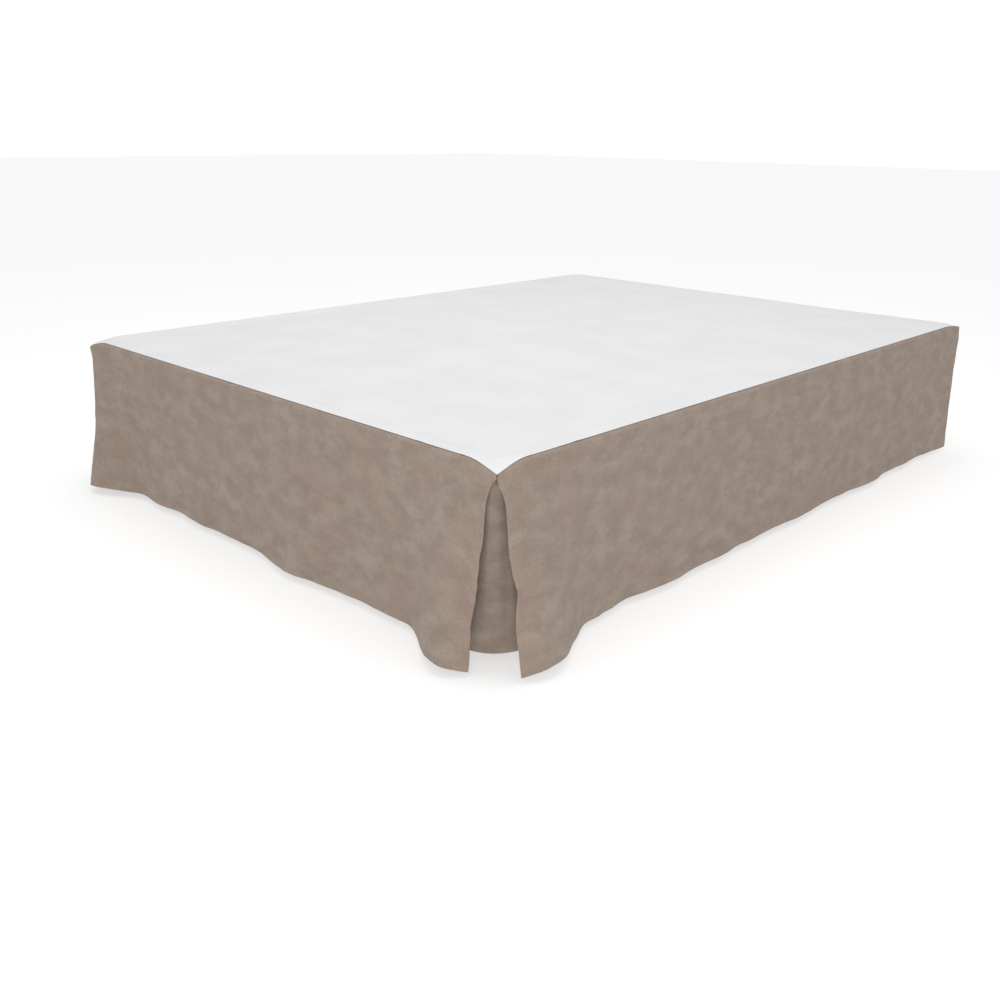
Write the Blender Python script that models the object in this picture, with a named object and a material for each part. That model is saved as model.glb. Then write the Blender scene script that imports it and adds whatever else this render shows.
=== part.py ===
# A split-corner linen bed skirt on a plain bed base.
#
# A white deck lies on the base. A foot drop and two side drops are sewn to its edges, lap a little
# way onto the base under the deck, roll over the top edge and hang almost to the floor. At the two
# foot corners the drops are open, and a linen insert hangs behind each opening. The head end has no
# drop. The bed lies along Y with its foot at -Y, and the floor is z = 0.
#
# A point on a drop is given by three lengths: along its edge from its starting corner, inward from
# the edge (or outward from it, at the hem), and down the cloth from the fold line.

import math
from collections import namedtuple

import bmesh
import bpy
import numpy as np

# Driving dimensions, in metres
BED_WIDTH = 1.52
BED_LENGTH = 2.03
BED_CENTRE_Y = 0.040
BASE_TOP = 0.396
BASE_BOTTOM = 0.200
BASE_INSET = 0.012
BASE_CORNER_RADIUS = 0.085
BASE_EDGE_RADIUS = 0.010
BASE_CORNER_STEPS = 10
BASE_EDGE_STEPS = 3
LEG_RADIUS_TOP = 0.030
LEG_RADIUS_FOOT = 0.022
LEG_GAP = 0.0003
LEG_SIDES = 24
LEG_X = 0.62
LEG_ROWS_Y = (-0.87, 0.0, 0.87)

LINEN = 0.0016
DECK_CLOTH = 0.0014
REST_GAP = 0.0005
SEAM_GAP = 0.0012
DROP = 0.380
LAP_ROWS = (0.030, 0.018)
ROLL_RADIUS = 0.009
ROLL_RADIUS_AT_CORNER = 0.003
ROLL_GROWS_OVER = 0.080
ROLL_STEPS = 3
PANEL_END_GAP = 0.0015

DROOP_RADIUS = 0.130
FOOT_DROOP = 0.0165
HEAD_DROOP = 0.006
DROOP_POWER = 1.25
HEM_DROOP_SHARE = 0.70

FLARE_POWER = 1.15
SWAY_FADE = 0.070
CREASE_END_SHARE = 0.15
HEM_SAMPLES = 600
FINE_COLUMN = 0.016
COARSE_COLUMN = 0.110
FINE_REACH = 0.060
COARSE_REACH = 0.420
FALL_ROWS = (0.04, 0.10, 0.19, 0.32, 0.43, 0.48, 0.57, 0.71, 0.86, 1.0)

INSERT_HALF_WIDTH = 0.150
INSERT_SETBACK = 0.0065
INSERT_TOP_RADIUS = 0.020
INSERT_HEM_RADIUS = 0.090
INSERT_ROUNDS_POWER = 0.8
INSERT_BELOW_FOLD = 0.007
INSERT_HEM_HEIGHT = 0.0185
INSERT_COLUMNS = 18
INSERT_ROWS = 9

DECK_EDGE_MARGIN = 0.001
DECK_RISES_FROM = 0.060
DECK_RISES_TO = 0.033
DECK_HEAD_INSET = 0.024
DECK_STATIONS = (0.017, 0.033, 0.046, 0.060, 0.082, 0.125, 0.400)

HALF_WIDTH = BED_WIDTH / 2
FOOT_Y = BED_CENTRE_Y - BED_LENGTH / 2
HEAD_Y = BED_CENTRE_Y + BED_LENGTH / 2
FOLD_HEIGHT = BASE_TOP + REST_GAP + LINEN / 2
DECK_HEIGHT = BASE_TOP + REST_GAP + DECK_CLOTH / 2
DECK_RISE = LINEN + SEAM_GAP

# How a free edge stands out at the hem of an open corner: where the edge, the crest beside it and
# the end of the flare lie along the panel, and how far out the edge and the crest are.
Flare = namedtuple("Flare", "edge_along edge_out crest_along crest_out reach")

# A soft fold of the hem: its middle along the panel, its half width and how far out it swings.
Fold = namedtuple("Fold", "along half_width out")

# How far in from the corner a free edge hangs, at a share of the way down.
Sway = namedtuple("Sway", "fall along")

# A pressed crease: its two ends, its half width, and how far its line stands out or in. It is
# strongest at its middle.
Crease = namedtuple("Crease", "along down to_along to_down half_width out")

Panel = namedtuple(
    "Panel",
    "name length corner along_dir out_dir rest_out start finish start_sway finish_sway folds creases",
)

NO_SWAY = (Sway(0.0, PANEL_END_GAP), Sway(1.0, PANEL_END_GAP))

FOOT_DROP = Panel(
    name="foot_drop",
    length=BED_WIDTH,
    corner=(HALF_WIDTH, FOOT_Y),
    along_dir=(-1, 0),
    out_dir=(0, -1),
    rest_out=0.003,
    start=Flare(edge_along=0.029, edge_out=0.042, crest_along=0.070, crest_out=0.084, reach=0.250),
    finish=Flare(edge_along=0.024, edge_out=0.040, crest_along=0.066, crest_out=0.074, reach=0.230),
    start_sway=(
        Sway(0.00, 0.002),
        Sway(0.03, 0.011),
        Sway(0.08, 0.019),
        Sway(0.13, 0.023),
        Sway(0.32, 0.022),
        Sway(0.52, 0.028),
        Sway(0.63, 0.027),
        Sway(0.76, 0.032),
        Sway(0.90, 0.027),
        Sway(1.00, 0.028),
    ),
    finish_sway=(
        Sway(0.00, 0.002),
        Sway(0.08, 0.017),
        Sway(0.30, 0.021),
        Sway(0.60, 0.029),
        Sway(1.00, 0.024),
    ),
    folds=(
        Fold(along=0.48, half_width=0.09, out=0.004),
        Fold(along=0.61, half_width=0.15, out=0.024),
        Fold(along=0.72, half_width=0.07, out=0.004),
        Fold(along=1.00, half_width=0.12, out=0.005),
        Fold(along=1.20, half_width=0.11, out=0.009),
    ),
    creases=(
        Crease(along=0.76, down=0.165, to_along=0.26, to_down=0.178, half_width=0.035, out=-0.0035),
        Crease(along=0.13, down=0.030, to_along=0.09, to_down=0.150, half_width=0.030, out=0.0030),
        Crease(along=1.02, down=0.330, to_along=0.80, to_down=0.345, half_width=0.030, out=0.0025),
    ),
)

RIGHT_DROP = Panel(
    name="side_drop_right",
    length=BED_LENGTH,
    corner=(HALF_WIDTH, FOOT_Y),
    along_dir=(0, 1),
    out_dir=(1, 0),
    rest_out=0.002,
    start=Flare(edge_along=0.017, edge_out=0.059, crest_along=0.062, crest_out=0.086, reach=0.285),
    finish=Flare(edge_along=0.004, edge_out=0.012, crest_along=0.060, crest_out=0.016, reach=0.220),
    start_sway=(
        Sway(0.00, 0.002),
        Sway(0.04, 0.004),
        Sway(0.08, 0.012),
        Sway(0.13, 0.016),
        Sway(0.25, 0.016),
        Sway(0.40, 0.013),
        Sway(0.50, 0.018),
        Sway(0.58, 0.025),
        Sway(0.68, 0.015),
        Sway(0.76, 0.010),
        Sway(1.00, 0.011),
    ),
    finish_sway=NO_SWAY,
    folds=(
        Fold(along=0.40, half_width=0.07, out=-0.007),
        Fold(along=0.55, half_width=0.10, out=0.008),
        Fold(along=0.74, half_width=0.12, out=0.005),
        Fold(along=1.12, half_width=0.16, out=0.008),
        Fold(along=1.50, half_width=0.13, out=0.012),
        Fold(along=1.74, half_width=0.10, out=0.005),
    ),
    creases=(
        Crease(along=0.14, down=0.185, to_along=0.19, to_down=0.380, half_width=0.030, out=0.0035),
        Crease(along=0.17, down=0.190, to_along=0.27, to_down=0.235, half_width=0.025, out=-0.0020),
        Crease(along=0.66, down=0.345, to_along=0.80, to_down=0.343, half_width=0.025, out=-0.0030),
    ),
)

LEFT_DROP = Panel(
    name="side_drop_left",
    length=BED_LENGTH,
    corner=(-HALF_WIDTH, FOOT_Y),
    along_dir=(0, 1),
    out_dir=(-1, 0),
    rest_out=0.006,
    start=Flare(edge_along=0.020, edge_out=0.050, crest_along=0.066, crest_out=0.078, reach=0.255),
    finish=Flare(edge_along=0.004, edge_out=0.010, crest_along=0.070, crest_out=0.015, reach=0.200),
    start_sway=(
        Sway(0.00, 0.002),
        Sway(0.07, 0.014),
        Sway(0.20, 0.019),
        Sway(0.45, 0.018),
        Sway(0.62, 0.024),
        Sway(1.00, 0.020),
    ),
    finish_sway=NO_SWAY,
    folds=(
        Fold(along=0.47, half_width=0.12, out=0.010),
        Fold(along=0.80, half_width=0.15, out=0.014),
        Fold(along=1.22, half_width=0.14, out=0.006),
        Fold(along=1.58, half_width=0.15, out=0.011),
    ),
    creases=(
        Crease(along=0.30, down=0.175, to_along=0.85, to_down=0.168, half_width=0.035, out=-0.0030),
        Crease(along=1.20, down=0.176, to_along=1.60, to_down=0.182, half_width=0.035, out=-0.0025),
    ),
)


def clamp(value):
    """The value kept between 0 and 1."""
    return min(max(value, 0.0), 1.0)


def ease(value):
    """A soft step from 0 to 1 as the value goes from 0 to 1."""
    return 0.5 - 0.5 * math.cos(math.pi * clamp(value))


def bump(distance, half_width):
    """A soft bump: 1 at no distance, and 0 from one half width on."""
    return 1.0 - ease(abs(distance) / half_width)


def droop(x, y):
    """How far the deck's edge hangs down at a place, past the base's rounded corners."""
    from_side = HALF_WIDTH - abs(x)
    from_end = min(y - FOOT_Y, HEAD_Y - y)
    if from_side > DROOP_RADIUS or from_end > DROOP_RADIUS:
        return 0.0
    unsupported = math.hypot(DROOP_RADIUS - from_side, DROOP_RADIUS - from_end) - DROOP_RADIUS
    tip = DROOP_RADIUS * (math.sqrt(2) - 1)
    deepest = FOOT_DROOP if y < BED_CENTRE_Y else HEAD_DROOP
    return deepest * clamp(unsupported / tip) ** DROOP_POWER


def roll_radius(from_end):
    """Radius with which the linen turns over the top edge. It is tight at an open corner."""
    grown = ease(from_end / ROLL_GROWS_OVER)
    return ROLL_RADIUS_AT_CORNER + (ROLL_RADIUS - ROLL_RADIUS_AT_CORNER) * grown


def flare_out(flare, rest_out, along):
    """How much further out than the plain hem a flare holds it."""
    if along < flare.crest_along:
        climb = (along - flare.edge_along) / (flare.crest_along - flare.edge_along)
        rise = math.sin(clamp(climb) * math.pi / 2)
        return flare.edge_out + (flare.crest_out - flare.edge_out) * rise - rest_out
    fade = (along - flare.crest_along) / (flare.reach - flare.crest_along)
    return (flare.crest_out - rest_out) * (1.0 - ease(fade))


def hem_out(panel, along):
    """How far out from its edge the hem of a panel hangs."""
    out = panel.rest_out
    out += flare_out(panel.start, panel.rest_out, along)
    out += flare_out(panel.finish, panel.rest_out, panel.length - along)
    for fold in panel.folds:
        out += fold.out * bump(along - fold.along, fold.half_width)
    return out


def hem_line(panel):
    """Even steps along the hem: lengths of cloth, and the places along and out that they reach."""
    first = panel.start.edge_along
    last = panel.length - panel.finish.edge_along
    along = np.linspace(first, last, HEM_SAMPLES)
    out = np.array([hem_out(panel, place) for place in along])
    steps = np.hypot(np.diff(along), np.diff(out))
    cloth = np.concatenate(([0.0], np.cumsum(steps)))
    return cloth / cloth[-1], along, out


def sway_at(table, fall):
    """A free edge's place along the panel at a share of the way down."""
    return float(np.interp(fall, [row.fall for row in table], [row.along for row in table]))


def crease_out(panel, along, down):
    """How far the pressed creases move the cloth out."""
    total = 0.0
    for crease in panel.creases:
        run_along = crease.to_along - crease.along
        run_down = crease.to_down - crease.down
        length_squared = run_along ** 2 + run_down ** 2
        share = ((along - crease.along) * run_along + (down - crease.down) * run_down) / length_squared
        near = clamp(share)
        gap = math.hypot(along - crease.along - near * run_along, down - crease.down - near * run_down)
        strength = math.sin(math.pi * (CREASE_END_SHARE + (1.0 - 2 * CREASE_END_SHARE) * near))
        total += crease.out * bump(gap, crease.half_width) * strength
    return total


def even_columns(length):
    """Places along a panel, close together at its ends and further apart between them."""
    half = [0.0]
    while half[-1] < length / 2:
        grown = ease((half[-1] - FINE_REACH) / (COARSE_REACH - FINE_REACH))
        half.append(half[-1] + FINE_COLUMN + (COARSE_COLUMN - FINE_COLUMN) * grown)
    half = [place * (length / 2) / half[-1] for place in half]
    return half + [length - place for place in reversed(half[:-1])]


def panel_point(panel, along, inward, height):
    """World position of a place given in a panel's own lengths."""
    x = panel.corner[0] + panel.along_dir[0] * along - panel.out_dir[0] * inward
    y = panel.corner[1] + panel.along_dir[1] * along - panel.out_dir[1] * inward
    return (x, y, height)


def lap_point(panel, along, inward, lower):
    """A point of the part that lies on the base, mitred at the ends and drooping at the corners."""
    share = along / panel.length
    from_end = min(along, panel.length - along)
    shift = inward * (1.0 - ease(from_end / ROLL_GROWS_OVER))
    along += shift if share < 0.5 else -shift
    x, y, height = panel_point(panel, along, inward, FOLD_HEIGHT)
    return (x, y, height - droop(x, y) - lower)


def fall_point(panel, line, along, fall):
    """A point of the part that hangs, at a share of the way down."""
    cloth, line_along, line_out = line
    from_end = min(along, panel.length - along)
    radius = roll_radius(from_end)
    hanging = DROP - radius
    share = (along - PANEL_END_GAP) / (panel.length - 2 * PANEL_END_GAP)
    hem_along = float(np.interp(share, cloth, line_along))
    hem_away = float(np.interp(share, cloth, line_out))
    spread = fall ** FLARE_POWER

    place = along + (hem_along - along) * spread
    straight_start = PANEL_END_GAP + (panel.start.edge_along - PANEL_END_GAP) * spread
    straight_finish = PANEL_END_GAP + (panel.finish.edge_along - PANEL_END_GAP) * spread
    fade_start = math.exp(-along / SWAY_FADE)
    fade_finish = math.exp(-(panel.length - along) / SWAY_FADE)
    place += (sway_at(panel.start_sway, fall) - straight_start) * fade_start
    place -= (sway_at(panel.finish_sway, fall) - straight_finish) * fade_finish

    down = radius + hanging * fall
    out = hem_away * spread + crease_out(panel, place, down)
    sideways = math.hypot(hem_along - along, hem_away)
    drop_straight = math.sqrt(hanging ** 2 - sideways ** 2)
    x, y, top = panel_point(panel, along, 0.0, FOLD_HEIGHT)
    sunk = droop(x, y) * (1.0 - (1.0 - HEM_DROOP_SHARE) * fall)
    height = top - sunk - radius - drop_straight * fall
    return panel_point(panel, place, -out, height)


def plain_material(name, colour, roughness):
    """A Principled material with one colour."""
    material = bpy.data.materials.new(name)
    material.use_nodes = True
    shader = material.node_tree.nodes["Principled BSDF"]
    shader.inputs["Base Color"].default_value = (*colour, 1.0)
    shader.inputs["Roughness"].default_value = roughness
    shader.inputs["Metallic"].default_value = 0.0
    return material


def add_object(name, mesh_builder, material):
    """Make a named object from a finished bmesh."""
    mesh = bpy.data.meshes.new(name)
    mesh_builder.to_mesh(mesh)
    mesh_builder.free()
    mesh.shade_smooth()
    mesh.set_sharp_from_angle(angle=math.radians(35))
    mesh.materials.append(material)
    thing = bpy.data.objects.new(name, mesh)
    bpy.context.collection.objects.link(thing)
    return thing


def cloth_sheet(name, columns, rows, place, thickness, material):
    """A sheet of cloth: a grid whose points are placed by a function, given its thickness."""
    builder = bmesh.new()
    bmesh.ops.create_grid(builder, x_segments=columns - 1, y_segments=rows - 1, size=0.5)
    for vert in builder.verts:
        column = round((vert.co.x + 0.5) * (columns - 1))
        row = round((vert.co.y + 0.5) * (rows - 1))
        vert.co = place(column, row)
    sheet = add_object(name, builder, material)
    solidify = sheet.modifiers.new("cloth_thickness", "SOLIDIFY")
    solidify.thickness = thickness
    solidify.offset = 0.0
    return sheet


def add_drop(panel, material):
    """One drop: its lap on the base, its roll over the edge and its hanging part."""
    line = hem_line(panel)
    places = even_columns(panel.length - 2 * PANEL_END_GAP)
    first_roll = len(LAP_ROWS)
    first_fall = first_roll + ROLL_STEPS + 1

    def place(column, row):
        along = places[column] + PANEL_END_GAP
        radius = roll_radius(min(along, panel.length - along))
        if row < first_roll:
            return lap_point(panel, along, LAP_ROWS[row], 0.0)
        if row < first_fall:
            turn = math.pi / 2 * (row - first_roll) / ROLL_STEPS
            inward = radius * (1.0 - math.sin(turn))
            return lap_point(panel, along, inward, radius * (1.0 - math.cos(turn)))
        return fall_point(panel, line, along, FALL_ROWS[row - first_fall])

    rows = first_fall + len(FALL_ROWS)
    return cloth_sheet(panel.name, len(places), rows, place, LINEN, material)


def insert_plan(cloth, fall):
    """Plan place of an insert's cloth, in from the side's plane and in from the foot's plane."""
    grown = fall ** INSERT_ROUNDS_POWER
    radius = INSERT_TOP_RADIUS + (INSERT_HEM_RADIUS - INSERT_TOP_RADIUS) * grown
    turned = min(abs(cloth) / radius, math.pi / 4)
    beyond = abs(cloth) - radius * turned
    angle = math.pi / 4 - turned
    near = INSERT_SETBACK + radius * (1.0 - math.cos(angle))
    far = INSERT_SETBACK + radius * (1.0 - math.sin(angle)) + beyond
    return (near, far) if cloth > 0 else (far, near)


def add_insert(name, side, material):
    """The linen behind an open foot corner, square at its top and rounded at its hem."""

    def place(column, row):
        fall = row / (INSERT_ROWS - 1)
        cloth = INSERT_HALF_WIDTH * (2 * column / (INSERT_COLUMNS - 1) - 1)
        top_across, top_back = insert_plan(cloth, 0.0)
        sewn = FOLD_HEIGHT - INSERT_BELOW_FOLD - droop(HALF_WIDTH - top_across, FOOT_Y + top_back)
        across, back = insert_plan(cloth, fall)
        return (side * (HALF_WIDTH - across), FOOT_Y + back, sewn + (INSERT_HEM_HEIGHT - sewn) * fall)

    return cloth_sheet(name, INSERT_COLUMNS, INSERT_ROWS, place, LINEN, material)


def deck_rise(x, y):
    """How far the deck climbs over the linen that laps in under its side and foot edges."""
    inside = min(HALF_WIDTH - abs(x), y - FOOT_Y)
    return DECK_RISE * ease((DECK_RISES_FROM - inside) / (DECK_RISES_FROM - DECK_RISES_TO))


def add_deck(material):
    """The white sheet on the base, square at its foot corners, which hang a little."""
    outermost = ROLL_RADIUS_AT_CORNER + DECK_EDGE_MARGIN
    inside = (outermost,) + DECK_STATIONS
    inside_head = (DECK_HEAD_INSET,) + DECK_STATIONS[1:]
    xs = [-HALF_WIDTH + step for step in inside] + [0.0] + [HALF_WIDTH - step for step in reversed(inside)]
    ys = [FOOT_Y + step for step in inside] + [BED_CENTRE_Y]
    ys += [HEAD_Y - step for step in reversed(inside_head)]

    def place(column, row):
        x = xs[column]
        y = ys[row]
        if column in (0, len(xs) - 1):
            edge = HALF_WIDTH - roll_radius(min(y - FOOT_Y, HEAD_Y - y)) - DECK_EDGE_MARGIN
            x = math.copysign(edge, x)
        if row == 0:
            y = FOOT_Y + roll_radius(HALF_WIDTH - abs(x)) + DECK_EDGE_MARGIN
        return (x, y, DECK_HEIGHT + deck_rise(x, y) - droop(x, y))

    return cloth_sheet("deck", len(xs), len(ys), place, DECK_CLOTH, material)


def rise_of(edge):
    """How much higher one end of an edge is than the other."""
    return abs(edge.verts[0].co.z - edge.verts[1].co.z)


def round_edges(builder, edges, radius, steps):
    """Round some edges of a bmesh."""
    bmesh.ops.bevel(builder, geom=edges, offset=radius, affect="EDGES", segments=steps, profile=0.5)


def add_base(material):
    """The plain upholstered box that the skirt fits over."""
    width = BED_WIDTH - 2 * BASE_INSET
    length = BED_LENGTH - 2 * BASE_INSET
    height = BASE_TOP - BASE_BOTTOM
    builder = bmesh.new()
    bmesh.ops.create_cube(builder, size=1.0)
    bmesh.ops.scale(builder, vec=(width, length, height), verts=builder.verts)
    bmesh.ops.translate(builder, vec=(0.0, BED_CENTRE_Y, BASE_BOTTOM + height / 2), verts=builder.verts)
    upright = [edge for edge in builder.edges if rise_of(edge) > height / 2]
    round_edges(builder, upright, BASE_CORNER_RADIUS, BASE_CORNER_STEPS)
    rims = [edge for edge in builder.edges if rise_of(edge) < height / 2]
    round_edges(builder, rims, BASE_EDGE_RADIUS, BASE_EDGE_STEPS)
    return add_object("bed_base", builder, material)


def add_leg(number, x, y, material):
    """A round leg, narrower at its foot, standing on the floor under the base."""
    height = BASE_BOTTOM - LEG_GAP
    builder = bmesh.new()
    bmesh.ops.create_cone(
        builder,
        cap_ends=True,
        segments=LEG_SIDES,
        radius1=LEG_RADIUS_FOOT,
        radius2=LEG_RADIUS_TOP,
        depth=height,
    )
    leg = add_object(f"leg_{number}", builder, material)
    leg.location = (x, y, height / 2)
    return leg


def build():
    """Make every piece."""
    for thing in list(bpy.data.objects):
        bpy.data.objects.remove(thing, do_unlink=True)

    add_deck(plain_material("deck_cotton", (0.86, 0.86, 0.87), 0.85))
    for panel in (FOOT_DROP, RIGHT_DROP, LEFT_DROP):
        add_drop(panel, plain_material(f"{panel.name}_linen", (0.34, 0.26, 0.21), 0.92))
    for name, side in (("insert_right", 1), ("insert_left", -1)):
        add_insert(name, side, plain_material(f"{name}_linen", (0.31, 0.24, 0.19), 0.92))
    add_base(plain_material("base_cover", (0.62, 0.60, 0.57), 0.9))
    places = [(side * LEG_X, BED_CENTRE_Y + row) for side in (-1, 1) for row in LEG_ROWS_Y]
    for number, (x, y) in enumerate(places, start=1):
        add_leg(number, x, y, plain_material(f"leg_{number}_wood", (0.24, 0.15, 0.09), 0.5))


build()
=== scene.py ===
import math

import bmesh
import bpy
import numpy as np
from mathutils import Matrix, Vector


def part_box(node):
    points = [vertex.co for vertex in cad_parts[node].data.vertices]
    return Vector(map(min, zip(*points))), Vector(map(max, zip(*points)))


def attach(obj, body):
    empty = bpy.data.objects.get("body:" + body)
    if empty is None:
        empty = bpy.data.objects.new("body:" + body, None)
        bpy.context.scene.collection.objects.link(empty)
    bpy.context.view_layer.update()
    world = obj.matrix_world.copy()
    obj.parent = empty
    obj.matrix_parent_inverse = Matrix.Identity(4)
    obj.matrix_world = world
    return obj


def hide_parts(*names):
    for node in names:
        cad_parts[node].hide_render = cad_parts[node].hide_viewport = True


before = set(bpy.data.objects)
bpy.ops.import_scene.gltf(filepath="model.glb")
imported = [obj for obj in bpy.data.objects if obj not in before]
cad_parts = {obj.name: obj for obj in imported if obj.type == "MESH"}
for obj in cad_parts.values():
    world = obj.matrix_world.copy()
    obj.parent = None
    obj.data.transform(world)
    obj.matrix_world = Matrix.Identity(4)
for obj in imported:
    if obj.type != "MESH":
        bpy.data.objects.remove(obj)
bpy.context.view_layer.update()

# A linen bed skirt with open foot corners, on a plain bed base. Everything is in metres.
# On a drop, along runs from its starting corner, down from the fold line, out from the bed.

print("frame loaded")

bed = {
    "inset": 0.012,         # how far the base stands in from the skirt's edge
    "restGap": 0.0005,
    "drop": 0.380,
    "linenInCad": 0.0016,
    "deckInCad": 0.0014,
    "droopRadius": 0.130,   # the cloth hangs past the base's rounded corners
    "footDroop": 0.0165,
    "headDroop": 0.006,
    "droopPower": 1.25,
    "hemDroopShare": 0.70,
}

baseLow, baseHigh = (Vector(corner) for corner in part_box("bed_base"))
halfWidth = baseHigh.x + bed["inset"]
footY = baseLow.y - bed["inset"]
headY = baseHigh.y + bed["inset"]
middleY = (footY + headY) / 2
foldHeight = baseHigh.z + bed["restGap"] + bed["linenInCad"] / 2
deckHeight = baseHigh.z + bed["restGap"] + bed["deckInCad"] / 2


def ease(value):
    return 0.5 - 0.5 * np.cos(np.pi * np.clip(value, 0.0, 1.0))


def bump(distance, reach):
    return 1.0 - ease(np.abs(distance) / reach)


def pinch(distance, reach):  # a crisp line with soft feet
    return np.clip(1.0 - np.abs(distance) / reach, 0.0, 1.0) ** 2


def softNoise(across, down, size, seed):  # smooth swells from -1 to 1, about size wide
    heights = np.random.default_rng(seed).uniform(-1.0, 1.0, (128, 128))
    column, row = np.floor(across / size), np.floor(down / size)
    shareX, shareY = across / size - column, down / size - row
    shareX = shareX ** 3 * (shareX * (shareX * 6 - 15) + 10)
    shareY = shareY ** 3 * (shareY * (shareY * 6 - 15) + 10)
    left, low = column.astype(int) % 128, row.astype(int) % 128
    right, high = (left + 1) % 128, (low + 1) % 128
    lower = heights[left, low] * (1 - shareX) + heights[right, low] * shareX
    upper = heights[left, high] * (1 - shareX) + heights[right, high] * shareX
    return lower * (1 - shareY) + upper * shareY


def cornerDroop(x, y):
    reach = bed["droopRadius"]
    fromSide = halfWidth - np.abs(x)
    fromEnd = np.minimum(y - footY, headY - y)
    past = np.hypot(np.maximum(reach - fromSide, 0.0), np.maximum(reach - fromEnd, 0.0)) - reach
    deepest = np.where(y < middleY, bed["footDroop"], bed["headDroop"])
    return deepest * np.clip(past / (reach * (math.sqrt(2) - 1)), 0.0, 1.0) ** bed["droopPower"]


def creaseRelief(creases, along, down, profile):
    # each crease: along, down, to along, to down, half width, out; strongest at its middle
    total = np.zeros_like(along)
    for fromAlong, fromDown, toAlong, toDown, reach, out in creases:
        runAlong, runDown = toAlong - fromAlong, toDown - fromDown
        share = (along - fromAlong) * runAlong + (down - fromDown) * runDown
        near = np.clip(share / (runAlong ** 2 + runDown ** 2), 0.0, 1.0)
        gap = np.hypot(along - fromAlong - near * runAlong, down - fromDown - near * runDown)
        total += out * profile(gap, reach) * np.sin(np.pi * (0.15 + 0.70 * near))
    return total


# Cloth pieces: a grid whose points a function places, with its thickness and rounded edges.

clothMake = {
    "edgeRound": 0.00045,
    "hemThickness": 0.0019,
    "bodyShare": 0.58,      # the single cloth's thickness as a share of the hem's
    "sharpAngle": 50,
}


def finishObject(name, builder, material, sharpAngle=None):
    mesh = bpy.data.meshes.new(name)
    builder.to_mesh(mesh)
    builder.free()
    mesh.shade_smooth()
    if sharpAngle is not None:
        mesh.set_sharp_from_angle(angle=math.radians(sharpAngle))
    mesh.materials.append(material)
    piece = bpy.data.objects.new(name, mesh)
    bpy.context.collection.objects.link(piece)
    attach(piece, "root")
    return piece


def roundEdges(piece, width, angle):
    rounding = piece.modifiers.new("edges", "BEVEL")
    rounding.width = width
    rounding.segments = 2
    rounding.limit_method = "ANGLE"
    rounding.angle_limit = math.radians(angle)


def clothGrid(name, columns, rows, place, layout, weight, material, thickness=None):
    builder = bmesh.new()
    clothUv = builder.loops.layers.uv.new("cloth")
    hemLayer = builder.verts.layers.deform.verify()
    across, down = len(columns) - 1, len(rows) - 1
    bmesh.ops.create_grid(builder, x_segments=across, y_segments=down, size=0.5)
    start = np.array([vert.co for vert in builder.verts])
    first = np.array(columns)[np.rint((start[:, 0] + 0.5) * across).astype(int)]
    second = np.array(rows)[np.rint((start[:, 1] + 0.5) * down).astype(int)]
    spots = place(first, second)
    flat = layout(first, second)
    weights = weight(first, second)
    for vert, spot, hem in zip(builder.verts, spots, weights):
        vert.co = spot
        vert[hemLayer][0] = float(hem)
    builder.verts.index_update()
    for face in builder.faces:
        for loop in face.loops:
            loop[clothUv].uv = flat[loop.vert.index]
    piece = finishObject(name, builder, material)
    piece.vertex_groups.new(name="hem")
    solidify = piece.modifiers.new("thickness", "SOLIDIFY")
    solidify.thickness = thickness or clothMake["hemThickness"]
    solidify.offset = 0.0
    solidify.vertex_group = "hem"
    solidify.thickness_vertex_group = clothMake["bodyShare"]
    roundEdges(piece, clothMake["edgeRound"], clothMake["sharpAngle"])
    return piece


def addStitches(name, runs, surface, material, lift):
    # runs: lines given as (along, down) arrays, with one stitch between each two places
    along, down = (
        np.concatenate([(run[part][1:] + run[part][:-1]) / 2 for run in runs]) for part in (0, 1)
    )
    ahead = np.concatenate([np.diff(surface(*run), axis=0) for run in runs])
    spots = surface(along, down)
    nearby = 0.0008
    stepAlong = surface(along + nearby, down) - spots
    stepDown = surface(along, down + 2 * nearby) - spots
    normal = np.cross(stepDown, stepAlong) * lift["side"]
    normal /= np.linalg.norm(normal, axis=1)[:, None]
    beside = np.cross(normal, ahead)
    beside /= np.linalg.norm(beside, axis=1)[:, None]

    ball = bmesh.new()
    bmesh.ops.create_uvsphere(ball, u_segments=6, v_segments=4, radius=1.0)
    shape = bpy.data.meshes.new("stitchShape")
    ball.to_mesh(shape)
    ball.free()
    builder = bmesh.new()
    for _ in spots:
        builder.from_mesh(shape)
    point = np.array([vert.co for vert in builder.verts]).reshape(len(spots), -1, 3)
    half = lift["width"] / 2
    placed = spots[:, None] + normal[:, None] * (lift["out"] + half * point[:, :, 2:3])
    placed += ahead[:, None] * lift["halfLength"] * point[:, :, 0:1]
    placed += beside[:, None] * half * point[:, :, 1:2]
    for vert, spot in zip(builder.verts, placed.reshape(-1, 3)):
        vert.co = spot
    bpy.data.meshes.remove(shape)
    return finishObject(name, builder, material)


# Shared node helpers


def feed(tree, socket, value):
    if isinstance(value, bpy.types.NodeSocket):
        tree.links.new(value, socket)
    else:
        socket.default_value = value


def mathNode(tree, operation, *values):
    node = tree.nodes.new("ShaderNodeMath")
    node.operation = operation
    for socket, value in zip(node.inputs, values):
        feed(tree, socket, value)
    return node.outputs[0]


def rangeNode(tree, value, low, high, toLow=0.0, toHigh=1.0):
    node = tree.nodes.new("ShaderNodeMapRange")
    node.interpolation_type = "SMOOTHSTEP"
    for label, number in (("Value", value), ("From Min", low), ("From Max", high),
                          ("To Min", toLow), ("To Max", toHigh)):
        feed(tree, node.inputs[label], number)
    return node.outputs["Result"]


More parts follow.
